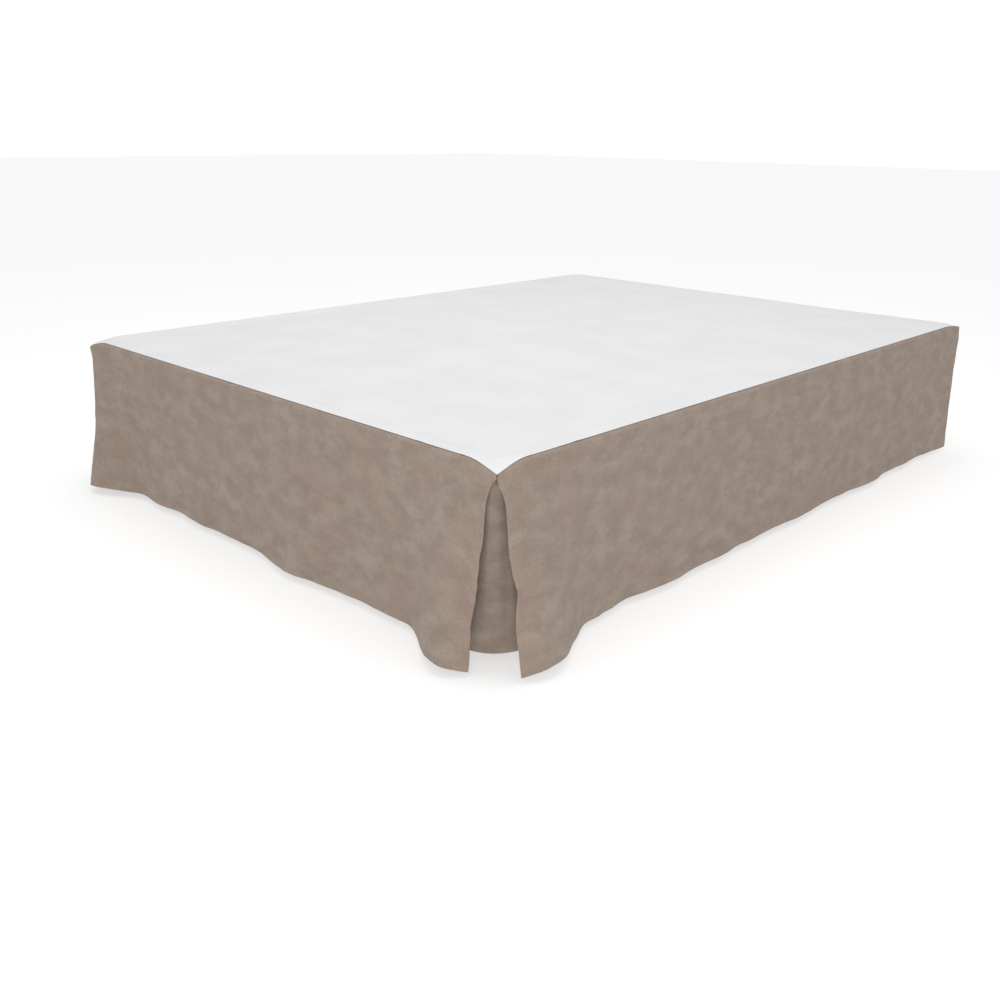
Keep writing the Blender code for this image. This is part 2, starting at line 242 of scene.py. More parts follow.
def mixColour(tree, share, first, second, blend="MIX"):
    node = tree.nodes.new("ShaderNodeMix")
    node.data_type = "RGBA"
    node.blend_type = blend
    feed(tree, node.inputs["Factor"], share)
    for socket, value in ((node.inputs[6], first), (node.inputs[7], second)):
        feed(tree, socket, (*value, 1.0) if isinstance(value, tuple) else value)
    return node.outputs[2]


def noiseNode(tree, place, scale, detail, roughness=0.5):
    node = tree.nodes.new("ShaderNodeTexNoise")
    feed(tree, node.inputs["Vector"], place)
    feed(tree, node.inputs["Scale"], scale)
    feed(tree, node.inputs["Detail"], detail)
    feed(tree, node.inputs["Roughness"], roughness)
    return node.outputs["Fac"]


def stretched(tree, place, scale, shift=(0.0, 0.0, 0.0)):
    node = tree.nodes.new("ShaderNodeMapping")
    feed(tree, node.inputs["Vector"], place)
    node.inputs["Scale"].default_value = scale
    node.inputs["Location"].default_value = shift
    return node.outputs["Vector"]


def newGroup(name, inputs, outputs):
    group = bpy.data.node_groups.new(name, "ShaderNodeTree")
    for label, kind, value in inputs:
        socket = group.interface.new_socket(name=label, in_out="INPUT", socket_type=kind)
        if value is not None:
            socket.default_value = value
    for label in outputs:
        group.interface.new_socket(name=label, in_out="OUTPUT", socket_type="NodeSocketFloat")
    return group, group.nodes.new("NodeGroupInput").outputs, group.nodes.new("NodeGroupOutput").inputs


def makeWeaveGroup():
    # A plain weave: warp threads run down, weft threads along, each a pitch apart.
    tree, given, out = newGroup(
        "plainWeave",
        (("Place", "NodeSocketVector", None), ("Pitch", "NodeSocketFloat", 0.0009),
         ("Wander", "NodeSocketFloat", 0.0006)),
        ("Height", "Thread tone"),
    )
    parts = tree.nodes.new("ShaderNodeSeparateXYZ")
    feed(tree, parts.inputs[0], given["Place"])
    drift = mathNode(tree, "SUBTRACT", noiseNode(tree, given["Place"], 70.0, 2.0), 0.5)
    drift = mathNode(tree, "MULTIPLY", drift, given["Wander"])
    across = mathNode(tree, "ADD", parts.outputs["X"], drift)
    down = mathNode(tree, "ADD", parts.outputs["Y"], drift)
    halfTurn = mathNode(tree, "DIVIDE", math.pi, given["Pitch"])
    warpWave = mathNode(tree, "SINE", mathNode(tree, "MULTIPLY", across, halfTurn))
    weftWave = mathNode(tree, "SINE", mathNode(tree, "MULTIPLY", down, halfTurn))
    over = mathNode(tree, "MULTIPLY_ADD", mathNode(tree, "MULTIPLY", warpWave, weftWave), 0.5, 0.5)
    warpStreak = noiseNode(tree, stretched(tree, given["Place"], (900.0, 30.0, 1.0)), 1.0, 2.0)
    weftStreak = noiseNode(tree, stretched(tree, given["Place"], (24.0, 900.0, 1.0)), 1.0, 2.0)
    warp = mathNode(tree, "MULTIPLY", mathNode(tree, "ABSOLUTE", warpWave), over)
    weft = mathNode(tree, "ABSOLUTE", weftWave)
    weft = mathNode(tree, "MULTIPLY", weft, mathNode(tree, "SUBTRACT", 1.0, over))
    warp = mathNode(tree, "MULTIPLY", warp, mathNode(tree, "ADD", warpStreak, 0.5))
    weft = mathNode(tree, "MULTIPLY", weft, mathNode(tree, "ADD", weftStreak, 0.5))
    feed(tree, out["Height"], mathNode(tree, "MAXIMUM", warp, weft))
    tone = mathNode(tree, "MULTIPLY", warpStreak, over)
    other = mathNode(tree, "MULTIPLY", weftStreak, mathNode(tree, "SUBTRACT", 1.0, over))
    feed(tree, out["Thread tone"], mathNode(tree, "ADD", tone, other))
    return tree


def makeSlubGroup():
    # Flax yarn: pale thick slubs and short dark flecks, mostly along the weft, and uneven dye.
    tree, given, out = newGroup(
        "flaxYarn",
        (("Place", "NodeSocketVector", None),),
        ("Slubs", "Flecks", "Mottle", "Warmth", "Height"),
    )
    place = given["Place"]
    weftPlace = stretched(tree, place, (95.0, 560.0, 1.0))
    warpPlace = stretched(tree, place, (520.0, 85.0, 1.0), (7.0, 3.0, 0.0))
    fleckPlace = stretched(tree, place, (120.0, 520.0, 1.0), (31.0, 17.0, 0.0))
    weftSlub = noiseNode(tree, weftPlace, 1.0, 2.0, 0.6)
    warpSlub = noiseNode(tree, warpPlace, 1.0, 2.0, 0.6)
    thickWeft = rangeNode(tree, weftSlub, 0.60, 0.74)
    thickWarp = rangeNode(tree, warpSlub, 0.64, 0.78)
    weftFleck = noiseNode(tree, fleckPlace, 1.0, 1.0)
    feed(tree, out["Slubs"], mathNode(tree, "MAXIMUM", thickWeft, thickWarp))
    feed(tree, out["Flecks"], rangeNode(tree, weftFleck, 0.60, 0.74))
    cloudy = noiseNode(tree, stretched(tree, place, (1.0, 1.6, 1.0)), 17.0, 4.0, 0.62)
    feed(tree, out["Mottle"], rangeNode(tree, cloudy, 0.34, 0.68))
    broad = noiseNode(tree, stretched(tree, place, (1.0, 1.3, 1.0), (4.0, 9.0, 0.0)), 8.0, 2.0)
    feed(tree, out["Warmth"], rangeNode(tree, broad, 0.36, 0.66))
    feed(tree, out["Height"], mathNode(tree, "ADD", weftSlub, warpSlub))
    return tree


weaveGroup = makeWeaveGroup()
slubGroup = makeSlubGroup()


def groupNode(tree, group, **values):
    node = tree.nodes.new("ShaderNodeGroup")
    node.node_tree = group
    for label, value in values.items():
        feed(tree, node.inputs[label], value)
    return node.outputs


def newMaterial(name, **settings):
    material = bpy.data.materials.new(name)
    material.use_nodes = True
    tree = material.node_tree
    shader = tree.nodes["Principled BSDF"]
    for label, value in settings.items():
        shader.inputs[label.replace("_", " ")].default_value = value
    return material, tree, shader


def bumpNode(tree, shader, height, distance, strength=1.0, under=None):
    node = tree.nodes.new("ShaderNodeBump")
    node.inputs["Strength"].default_value = strength
    node.inputs["Distance"].default_value = distance
    feed(tree, node.inputs["Height"], height)
    if under is not None:
        feed(tree, node.inputs["Normal"], under)
    feed(tree, shader.inputs["Normal"], node.outputs["Normal"])
    return node.outputs["Normal"]


def clothPlace(tree):
    node = tree.nodes.new("ShaderNodeUVMap")
    node.uv_map = "cloth"
    return node.outputs["UV"]


linenLook = {
    # the first two colours are the dark and pale yarn, and also painted shade in the gaps between threads
    # and painted light on the thread crowns
    "darkYarnAndGapShade": (0.196, 0.146, 0.112),
    "light": (0.395, 0.318, 0.262),
    "warm": (0.335, 0.243, 0.195),
    "slub": (0.560, 0.490, 0.410),
    "fleck": (0.150, 0.110, 0.085),
    "slubShare": 0.42,
    "fleckShare": 0.38,
    "warmShare": 0.45,
    "pitch": 0.00095,
}


def linenMaterial(name, look):
    material, tree, shader = newMaterial(
        name, Roughness=0.88, Sheen_Weight=0.12, Sheen_Roughness=0.5, Specular_IOR_Level=0.25
    )
    place = clothPlace(tree)
    weave = groupNode(tree, weaveGroup, Place=place, Pitch=look["pitch"])
    yarn = groupNode(tree, slubGroup, Place=place)
    tone = mathNode(tree, "MULTIPLY_ADD", yarn["Mottle"], 0.42, 0.06)
    tone = mathNode(tree, "MULTIPLY_ADD", weave["Thread tone"], 0.62, tone)
    # the weave's height darkens the colour in the gaps between threads and lightens the thread crowns:
    # painted shade
    tone = mathNode(tree, "MULTIPLY_ADD", weave["Height"], 0.30, tone)
    colour = mixColour(tree, tone, look["darkYarnAndGapShade"], look["light"])
    warm = mathNode(tree, "MULTIPLY", yarn["Warmth"], look["warmShare"])
    colour = mixColour(tree, warm, colour, look["warm"])
    flecks = mathNode(tree, "MULTIPLY", yarn["Flecks"], look["fleckShare"])
    colour = mixColour(tree, flecks, colour, look["fleck"])
    slubs = mathNode(tree, "MULTIPLY", yarn["Slubs"], look["slubShare"])
    colour = mixColour(tree, slubs, colour, look["slub"])
    feed(tree, shader.inputs["Base Color"], colour)
    coarse = bumpNode(tree, shader, yarn["Height"], 0.0008, 0.5)
    bumpNode(tree, shader, weave["Height"], 0.0005, 0.6, coarse)
    feed(tree, shader.inputs["Roughness"], rangeNode(tree, yarn["Slubs"], 0.0, 1.0, 0.9, 0.74))
    return material


cottonLook = {
    "cool": (0.775, 0.780, 0.792),
    "white": (0.815, 0.815, 0.818),
    "thread": (0.70, 0.71, 0.73),
    "threadShare": 0.10,
    "pitch": 0.00055,
    "wander": 0.0003,
}


def cottonMaterial(name, look):
    material, tree, shader = newMaterial(
        name, Roughness=0.8, Sheen_Weight=0.05, Sheen_Roughness=0.4, Specular_IOR_Level=0.3
    )
    place = clothPlace(tree)
    weave = groupNode(tree, weaveGroup, Place=place, Pitch=look["pitch"], Wander=look["wander"])
    cloudy = rangeNode(tree, noiseNode(tree, place, 6.0, 3.0), 0.3, 0.7)
    colour = mixColour(tree, cloudy, look["cool"], look["white"])
    threads = mathNode(tree, "MULTIPLY", weave["Thread tone"], look["threadShare"])
    colour = mixColour(tree, threads, colour, look["thread"])
    feed(tree, shader.inputs["Base Color"], colour)
    bumpNode(tree, shader, weave["Height"], 0.0002, 0.5)
    feed(tree, shader.inputs["Roughness"], rangeNode(tree, weave["Height"], 0.0, 1.0, 0.9, 0.75))
    return material


def threadMaterial(name, dark, light):
    material, tree, shader = newMaterial(name, Roughness=0.7, Sheen_Weight=0.1)
    spot = tree.nodes.new("ShaderNodeTexCoord").outputs["Object"]
    colour = mixColour(tree, noiseNode(tree, spot, 400.0, 2.0), dark, light)
    feed(tree, shader.inputs["Base Color"], colour)
    twist = tree.nodes.new("ShaderNodeTexWave")
    feed(tree, twist.inputs["Vector"], spot)
    twist.inputs["Scale"].default_value = 900.0
    bumpNode(tree, shader, twist.outputs["Fac"], 0.0001, 0.4)
    return material


coverLook = {
    "dark": (0.34, 0.32, 0.29),
    "light": (0.66, 0.64, 0.60),
    "pitch": 0.0022,
    "wander": 0.001,
}


def coverMaterial(name, look):
    material, tree, shader = newMaterial(name, Roughness=0.85, Sheen_Weight=0.15, Sheen_Roughness=0.5)
    spot = tree.nodes.new("ShaderNodeTexCoord").outputs["Object"]
    parts = tree.nodes.new("ShaderNodeSeparateXYZ")
    feed(tree, parts.inputs[0], spot)
    x, y, z = (parts.outputs[axis] for axis in "XYZ")
    wrapped = tree.nodes.new("ShaderNodeCombineXYZ")  # one weave for the top and all four sides
    feed(tree, wrapped.inputs["X"], mathNode(tree, "ADD", x, y))
    feed(tree, wrapped.inputs["Y"], mathNode(tree, "ADD", z, mathNode(tree, "SUBTRACT", x, y)))
    weave = groupNode(
        tree, weaveGroup, Place=wrapped.outputs[0], Pitch=look["pitch"], Wander=look["wander"]
    )
    cloudy = noiseNode(tree, spot, 9.0, 3.0)
    # the weave's height darkens the colour in the gaps between threads: painted shade, mixed with random
    # cloudy tone
    tone = mathNode(tree, "MULTIPLY_ADD", weave["Height"], 0.5, mathNode(tree, "MULTIPLY", cloudy, 0.4))
    colour = mixColour(tree, tone, look["dark"], look["light"])
    feed(tree, shader.inputs["Base Color"], colour)
    bumpNode(tree, shader, weave["Height"], 0.0008, 0.6)
    feed(tree, shader.inputs["Roughness"], rangeNode(tree, weave["Height"], 0.0, 1.0, 0.95, 0.8))
    return material


woodLook = {"dark": (0.165, 0.092, 0.048), "light": (0.42, 0.27, 0.155), "bands": 7.0}


def woodMaterial(name, look):
    material, tree, shader = newMaterial(name, Roughness=0.45, Coat_Weight=0.15, Coat_Roughness=0.3)
    spot = tree.nodes.new("ShaderNodeTexCoord").outputs["Object"]
    fine = noiseNode(tree, stretched(tree, spot, (230.0, 230.0, 9.0)), 1.0, 4.0, 0.6)
    broad = noiseNode(tree, stretched(tree, spot, (38.0, 38.0, 2.5), (2.0, 5.0, 1.0)), 1.0, 3.0)
    bands = mathNode(tree, "FRACT", mathNode(tree, "MULTIPLY", broad, look["bands"]))
    tone = mathNode(tree, "MULTIPLY_ADD", bands, 0.35, mathNode(tree, "MULTIPLY", fine, 0.65))
    feed(tree, shader.inputs["Base Color"], mixColour(tree, tone, look["dark"], look["light"]))
    feed(tree, shader.inputs["Roughness"], rangeNode(tree, fine, 0.3, 0.7, 0.38, 0.56))
    bumpNode(tree, shader, fine, 0.0004, 0.35)
    return material


linen = linenMaterial("flaxLinen", linenLook)
insertLook = dict(linenLook, slubShare=0.25, fleckShare=0.28, warmShare=0.2)
insertLinen = linenMaterial("flaxLinenInsert", insertLook)
cotton = cottonMaterial("deckCotton", cottonLook)
linenThread = threadMaterial("linenThread", (0.26, 0.20, 0.155), (0.44, 0.365, 0.30))
cottonThread = threadMaterial("cottonThread", (0.70, 0.70, 0.71), (0.82, 0.82, 0.83))
cover = coverMaterial("baseCoverWeave", coverLook)
wood = woodMaterial("legWood", woodLook)
print("materials made")


# The drops

dropMake = {
    "lapWidth": 0.030,
    "rollRadius": 0.009,
    "rollAtCorner": 0.003,
    "rollGrowsOver": 0.080,
    "endGap": 0.0015,
    "flarePower": 1.15,
    "swayFade": 0.070,
    "sideHem": 0.010,
    "bottomHem": 0.028,
    "fineColumn": 0.0037,
    "coarseColumn": 0.0062,
    "stitch": 0.0040,
    "endColumns": (0.0, 0.0012, 0.003, 0.0055, 0.0078, 0.0092, 0.0100, 0.0108, 0.0126),
    "rows": 76,
}
# halfLength is a share of the stitch, side is the face that it lies on
stitchLift = {"width": 0.00062, "out": 0.00085, "halfLength": 0.42, "side": 1.0}

footDrop = {
    "name": "foot_drop_linen",
    "node": "foot_drop",
    "seed": 11,
    "length": 2 * halfWidth,
    "corner": (halfWidth, footY),
    "alongDir": (-1, 0),
    "outDir": (0, -1),
    "restOut": 0.003,
    # a flare at an open corner: edge along, edge out, crest along, crest out, reach
    "start": (0.029, 0.042, 0.070, 0.084, 0.250),
    "finish": (0.024, 0.040, 0.066, 0.074, 0.230),
    # where the free edge hangs: share of the way down, along
    "startSway": (
        (0.00, 0.002), (0.03, 0.011), (0.08, 0.019), (0.13, 0.023), (0.32, 0.022),
        (0.52, 0.028), (0.63, 0.027), (0.76, 0.032), (0.90, 0.027), (1.00, 0.028),
    ),
    "finishSway": ((0.00, 0.002), (0.08, 0.017), (0.30, 0.021), (0.60, 0.029), (1.00, 0.024)),
    # folds of the hem: along, half width, out
    "folds": (
        (0.48, 0.09, 0.004), (0.61, 0.15, 0.024), (0.72, 0.07, 0.004),
        (1.00, 0.12, 0.005), (1.20, 0.11, 0.009),
    ),
    # soft swells and hollows: along, down, to along, to down, half width, out
    "swells": (
        (0.76, 0.165, 0.26, 0.178, 0.035, -0.0035),
        (0.13, 0.030, 0.09, 0.150, 0.030, 0.0030),
        (1.02, 0.330, 0.80, 0.345, 0.030, 0.0025),
        (0.819, 0.027, 0.829, 0.110, 0.018, 0.0020),
        (0.704, 0.017, 0.713, 0.147, 0.018, 0.0022),
        (0.402, 0.011, 0.405, 0.083, 0.014, 0.0016),
        (0.311, 0.014, 0.312, 0.082, 0.013, 0.0014),
        (0.267, 0.026, 0.222, 0.085, 0.016, 0.0024),
        (0.677, 0.259, 0.488, 0.291, 0.045, 0.0024),
        (0.960, 0.290, 0.850, 0.318, 0.035, -0.0022),
        (1.150, 0.040, 1.170, 0.160, 0.022, 0.0020),
        (1.360, 0.060, 1.340, 0.170, 0.026, 0.0022),
    ),
    # pressed creases: along, down, to along, to down, half width, out
    "creases": (
        (0.74, 0.167, 0.62, 0.171, 0.012, 0.0012),
        (0.66, 0.169, 0.44, 0.185, 0.014, 0.0026),
        (0.48, 0.181, 0.25, 0.172, 0.013, 0.0013),
        (0.068, 0.208, 0.018, 0.211, 0.011, -0.0026),
        (0.127, 0.022, 0.121, 0.048, 0.010, -0.0022),
        (1.30, 0.178, 1.02, 0.170, 0.013, 0.0014),
    ),
}

rightDrop = {
    "name": "side_drop_right_linen",
    "node": "side_drop_right",
    "seed": 23,
    "length": headY - footY,
    "corner": (halfWidth, footY),
    "alongDir": (0, 1),
    "outDir": (1, 0),
    "restOut": 0.002,
    "start": (0.017, 0.059, 0.062, 0.086, 0.285),
    "finish": (0.004, 0.012, 0.060, 0.016, 0.220),
    "startSway": (
        (0.00, 0.002), (0.04, 0.004), (0.08, 0.012), (0.13, 0.016), (0.25, 0.016), (0.40, 0.013),
        (0.50, 0.018), (0.58, 0.025), (0.68, 0.015), (0.76, 0.010), (1.00, 0.011),
    ),
    "finishSway": ((0.0, 0.0015), (1.0, 0.0015)),
    "folds": (
        (0.285, 0.04, 0.006), (0.40, 0.07, -0.007), (0.55, 0.10, 0.008), (0.74, 0.12, 0.005),
        (1.12, 0.16, 0.008), (1.50, 0.13, 0.012), (1.74, 0.10, 0.005),
    ),
    "swells": (
        (0.14, 0.185, 0.19, 0.380, 0.030, 0.0035),
        (0.66, 0.345, 0.80, 0.343, 0.025, -0.0030),
        (0.33, 0.060, 0.35, 0.170, 0.026, 0.0014),
        (0.62, 0.050, 0.64, 0.200, 0.022, 0.0014),
        (0.82, 0.080, 0.83, 0.260, 0.018, 0.0016),
        (1.30, 0.050, 1.32, 0.210, 0.024, 0.0018),
        (1.66, 0.090, 1.64, 0.250, 0.024, 0.0018),
    ),
    "creases": (
        (0.170, 0.170, 0.262, 0.198, 0.012, 0.0016),
        (0.160, 0.203, 0.285, 0.258, 0.012, -0.0015),
        (0.225, 0.250, 0.262, 0.262, 0.010, 0.0010),
        (0.655, 0.347, 0.800, 0.343, 0.011, -0.0026),
        (1.050, 0.176, 1.420, 0.184, 0.013, 0.0012),
    ),
}

leftDrop = {
    "name": "side_drop_left_linen",
    "node": "side_drop_left",
    "seed": 37,
    "length": headY - footY,
    "corner": (-halfWidth, footY),
    "alongDir": (0, 1),
    "outDir": (-1, 0),
    "restOut": 0.006,
    "start": (0.020, 0.050, 0.066, 0.078, 0.255),
    "finish": (0.004, 0.010, 0.070, 0.015, 0.200),
    "startSway": (
        (0.00, 0.002), (0.07, 0.014), (0.20, 0.019), (0.45, 0.018), (0.62, 0.024), (1.00, 0.020),
    ),
    "finishSway": ((0.0, 0.0015), (1.0, 0.0015)),
    "folds": ((0.47, 0.12, 0.010), (0.80, 0.15, 0.014), (1.22, 0.14, 0.006), (1.58, 0.15, 0.011)),
    "swells": (
        (0.30, 0.175, 0.85, 0.168, 0.035, -0.0030),
        (1.20, 0.176, 1.60, 0.182, 0.035, -0.0025),
        (0.36, 0.030, 0.37, 0.120, 0.020, 0.0020),
        (0.92, 0.040, 0.90, 0.150, 0.022, 0.0018),
        (1.44, 0.030, 1.46, 0.170, 0.022, 0.0018),
    ),
    "creases": (
        (0.34, 0.176, 0.72, 0.170, 0.013, 0.0020),
        (1.24, 0.178, 1.52, 0.183, 0.013, 0.0016),
        (0.150, 0.190, 0.240, 0.225, 0.012, 0.0014),
    ),
}


def rollRadius(fromEnd):
    grown = ease(fromEnd / dropMake["rollGrowsOver"])
    return dropMake["rollAtCorner"] + (dropMake["rollRadius"] - dropMake["rollAtCorner"]) * grown


def flareOut(flare, restOut, along):
    edgeAlong, edgeOut, crestAlong, crestOut, reach = flare
    climb = np.clip((along - edgeAlong) / (crestAlong - edgeAlong), 0.0, 1.0)
    rising = edgeOut + (crestOut - edgeOut) * np.sin(climb * np.pi / 2) - restOut
    fading = (crestOut - restOut) * (1.0 - ease((along - crestAlong) / (reach - crestAlong)))
    return np.where(along < crestAlong, rising, fading)


def hemLine(panel):
    along = np.linspace(panel["start"][0], panel["length"] - panel["finish"][0], 900)
    out = panel["restOut"] + flareOut(panel["start"], panel["restOut"], along)
    out = out + flareOut(panel["finish"], panel["restOut"], panel["length"] - along)
    for middle, reach, away in panel["folds"]:
        out = out + away * bump(along - middle, reach)
    cloth = np.concatenate(([0.0], np.cumsum(np.hypot(np.diff(along), np.diff(out)))))
    return cloth / cloth[-1], along, out


def panelPoint(panel, along, out, height):
    x = panel["corner"][0] + panel["alongDir"][0] * along + panel["outDir"][0] * out
    y = panel["corner"][1] + panel["alongDir"][1] * along + panel["outDir"][1] * out
    return np.stack((x, y, height + 0 * x), axis=-1)


# uneven linen: how far each kind of rumple stands out, and how wide it is
rumpleMake = {
    "swell": (0.0016, 0.115),
    "upright": (0.0009, 0.042),
    "level": (0.0007, 0.030),
    "crumple": (0.0011, 0.048),
    "grain": (0.00022, 0.011),
    "crumplePatch": 0.15,
}


def rumples(seed, along, down):
    out, size = zip(*(rumpleMake[kind] for kind in ("swell", "upright", "level", "crumple", "grain")))
    relief = out[0] * softNoise(along, down * 0.8, size[0], seed)
    relief += out[1] * softNoise(along, down * 0.35, size[1], seed + 1)
    relief += out[2] * softNoise(along * 0.6, down, size[2], seed + 2)
    turned = along + 0.55 * down
    crumple = 1.0 - np.abs(softNoise(turned, down - 0.4 * along, size[3], seed + 3))
    patches = ease(softNoise(along, down, rumpleMake["crumplePatch"], seed + 4) + 0.6)
    relief += out[3] * crumple ** 6 * patches
    relief += out[4] * softNoise(along, down, size[4], seed + 5)
    return relief


def clothRelief(panel, along, down):
    relief = creaseRelief(panel["swells"], along, down, bump)
    relief = relief + creaseRelief(panel["creases"], along, down, pinch)
    relief = relief + rumples(panel["seed"], along, down) * ease(down / 0.050)
    fromHem = bed["drop"] - down
    pucker = softNoise(along, 0 * along, 0.0085, panel["seed"] + 6)
    relief = relief + 0.0005 * pucker * bump(fromHem - dropMake["bottomHem"], 0.014)
    curl = softNoise(along, 0 * along, 0.055, panel["seed"] + 7)
    return relief + 0.0016 * curl * ease(1.0 - fromHem / 0.05)


def edgeWaver(panel, along, down):  # a free edge is never quite straight
    return 0.0009 * softNoise(down, along, 0.022, panel["seed"] + 8)


def hangPoint(panel, line, along, fall):
    cloth, lineAlong, lineOut = line
    gap = dropMake["endGap"]
    fromFinish = panel["length"] - along
    radius = rollRadius(np.minimum(along, fromFinish))
    hanging = bed["drop"] - radius
    share = (along - gap) / (panel["length"] - 2 * gap)
    hemAlong = np.interp(share, cloth, lineAlong)
    hemAway = np.interp(share, cloth, lineOut)
    spread = np.maximum(fall, 0.0) ** dropMake["flarePower"]

    place = along + (hemAlong - along) * spread
    for flare, end, sign in (("start", along, 1), ("finish", fromFinish, -1)):
        shares, edges = zip(*panel[flare + "Sway"])
        straight = gap + (panel[flare][0] - gap) * spread
        waver = edgeWaver(panel, sign * 0.3 + 0 * along, fall * hanging) * ease(fall / 0.1)
        fading = np.exp(-end / dropMake["swayFade"])
        place = place + sign * (np.interp(fall, shares, edges) + waver - straight) * fading

    down = radius + hanging * fall
    out = hemAway * spread + clothRelief(panel, place, down)
    straightDown = np.sqrt(hanging ** 2 - (hemAlong - along) ** 2 - hemAway ** 2)
    top = panelPoint(panel, along, 0.0 * along, 0.0)
    sunk = cornerDroop(top[:, 0], top[:, 1]) * (1.0 - (1.0 - bed["hemDroopShare"]) * fall)
    return panelPoint(panel, place, out, foldHeight - sunk - radius - straightDown * fall)


def lapPoint(panel, along, inward, lower):
    fromEnd = np.minimum(along, panel["length"] - along)
    shift = inward * (1.0 - ease(fromEnd / dropMake["rollGrowsOver"]))
    moved = along + np.where(along < panel["length"] / 2, shift, -shift)
    spots = panelPoint(panel, moved, -inward, foldHeight - lower)
    spots[:, 2] -= cornerDroop(spots[:, 0], spots[:, 1])
    return spots


def dropPoint(panel, line, along, stage):
    # stage: -2 the lap's inner edge, -1 the top of the roll, 0 its end, 1 the hem
    radius = rollRadius(np.minimum(along, panel["length"] - along))
    turn = np.pi / 2 * np.clip(stage + 1.0, 0.0, 1.0)
    inward = radius * (1.0 - np.sin(turn))
    inward = inward + (dropMake["lapWidth"] - radius) * np.clip(-1.0 - stage, 0.0, 1.0)
    lying = lapPoint(panel, along, inward, radius * (1.0 - np.cos(turn)))
    hung = hangPoint(panel, line, along, np.clip(stage, 0.0, 1.0))
    return np.where((stage <= 0.0)[:, None], lying, hung)


def dropLayout(panel, along, stage):
    radius = rollRadius(np.minimum(along, panel["length"] - along))
    turn = np.pi / 2 * np.clip(stage + 1.0, 0.0, 1.0)
    lapped = (dropMake["lapWidth"] - radius) * np.clip(-1.0 - stage, 0.0, 1.0)
    lying = radius * (1.0 - np.pi / 2 + turn) - lapped
    hung = radius + (bed["drop"] - radius) * stage
    return np.stack((along + 0.37 * panel["seed"], np.where(stage <= 0.0, lying, hung)), axis=-1)


def hemWeight(panel, along, stage):
    fromEnd = np.minimum(along, panel["length"] - along) - dropMake["endGap"]
    bottom = (1.0 - stage) * bed["drop"]
    side = ease((dropMake["sideHem"] + 0.0006 - fromEnd) / 0.0012)
    return np.maximum(side, ease((dropMake["bottomHem"] + 0.0008 - bottom) / 0.0016))


def columnPlaces(length, fine, coarse, first=(0.0,)):
    half = list(first)
    while half[-1] < length / 2:
        half.append(half[-1] + fine + (coarse - fine) * float(ease((half[-1] - 0.12) / 0.5)))
    half = [place * (length / 2) / half[-1] for place in half]
    return np.array(half + [length - place for place in reversed(half[:-1])])


def addDrop(panel):
    line = hemLine(panel)
    gap = dropMake["endGap"]
    span = panel["length"] - 2 * gap
    columns = gap + columnPlaces(
        span, dropMake["fineColumn"], dropMake["coarseColumn"], dropMake["endColumns"]
    )
    hemShare = 1.0 - dropMake["bottomHem"] / bed["drop"]
    rows = np.concatenate((
        (-2.0, -1.5), np.linspace(-1.0, 0.0, 7), np.linspace(0.0, hemShare - 0.008, dropMake["rows"])[1:],
        hemShare + np.array((-0.0035, -0.0012, 0.0012, 0.0035)),
        np.linspace(hemShare + 0.014, 0.988, 6), (0.9965, 1.0),
    ))
    piece = clothGrid(
        panel["name"], columns, rows,
        lambda along, stage: dropPoint(panel, line, along, stage),
        lambda along, stage: dropLayout(panel, along, stage),
        lambda along, stage: hemWeight(panel, along, stage),
        linen,
    )

    inner = gap + dropMake["sideHem"] * 0.86
    low = 1.0 - dropMake["bottomHem"] * 0.93 / bed["drop"]
    across = np.arange(inner, panel["length"] - inner, dropMake["stitch"])
    falls = np.arange(0.012, low, dropMake["stitch"] / bed["drop"])
    runs = [
        (across, low + 0 * across),
        (inner + 0 * falls, falls),
        (panel["length"] - inner + 0 * falls, falls),
    ]
    turned = panel["alongDir"][0] * panel["outDir"][1] - panel["alongDir"][1] * panel["outDir"][0]
    stitches = addStitches(
        panel["name"] + "_stitches", runs,
        lambda along, fall: hangPoint(panel, line, along, fall),
        linenThread, dict(stitchLift, side=turned),
    )
    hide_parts(panel["node"])
    print("drop made:", panel["name"], len(columns), "by", len(rows))


for panel in (footDrop, rightDrop, leftDrop):
    addDrop(panel)


# The inserts behind the open foot corners

insertMake = {
    "halfWidth": 0.150,
    "drop": 0.37,
    "setback": 0.0065,
    "topRadius": 0.020,
    "hemRadius": 0.090,
    "roundsPower": 0.8,
    "belowFold": 0.007,
    "hemHeight": 0.0185,
    "hem": 0.024,
    "columns": 84,
    "rows": 96,
}


def insertPlan(cloth, fall):
    grown = fall ** insertMake["roundsPower"]
    radius = insertMake["topRadius"] + (insertMake["hemRadius"] - insertMake["topRadius"]) * grown
    turned = np.minimum(np.abs(cloth) / radius, np.pi / 4)
    beyond = np.abs(cloth) - radius * turned
    near = insertMake["setback"] + radius * (1.0 - np.cos(np.pi / 4 - turned))
    far = insertMake["setback"] + radius * (1.0 - np.sin(np.pi / 4 - turned)) + beyond
    return np.where(cloth > 0, near, far), np.where(cloth > 0, far, near)


def insertPoint(side, seed, ridges, cloth, fall):
    topAcross, topBack = insertPlan(cloth, 0.0 * fall)
    sewn = foldHeight - insertMake["belowFold"] - cornerDroop(halfWidth - topAcross, footY + topBack)
    across, back = insertPlan(cloth, fall)
    down = fall * insertMake["drop"]
    relief = creaseRelief(ridges, cloth, down, bump)
    relief = relief + 0.6 * rumples(seed, cloth + 0.5, down) * ease(fall / 0.2)
    relief = relief * math.sqrt(0.5)   # straight out of the corner
    height = sewn + (insertMake["hemHeight"] - sewn) * fall
    return np.stack((side * (halfWidth - across + relief), footY + back - relief, height), axis=-1)


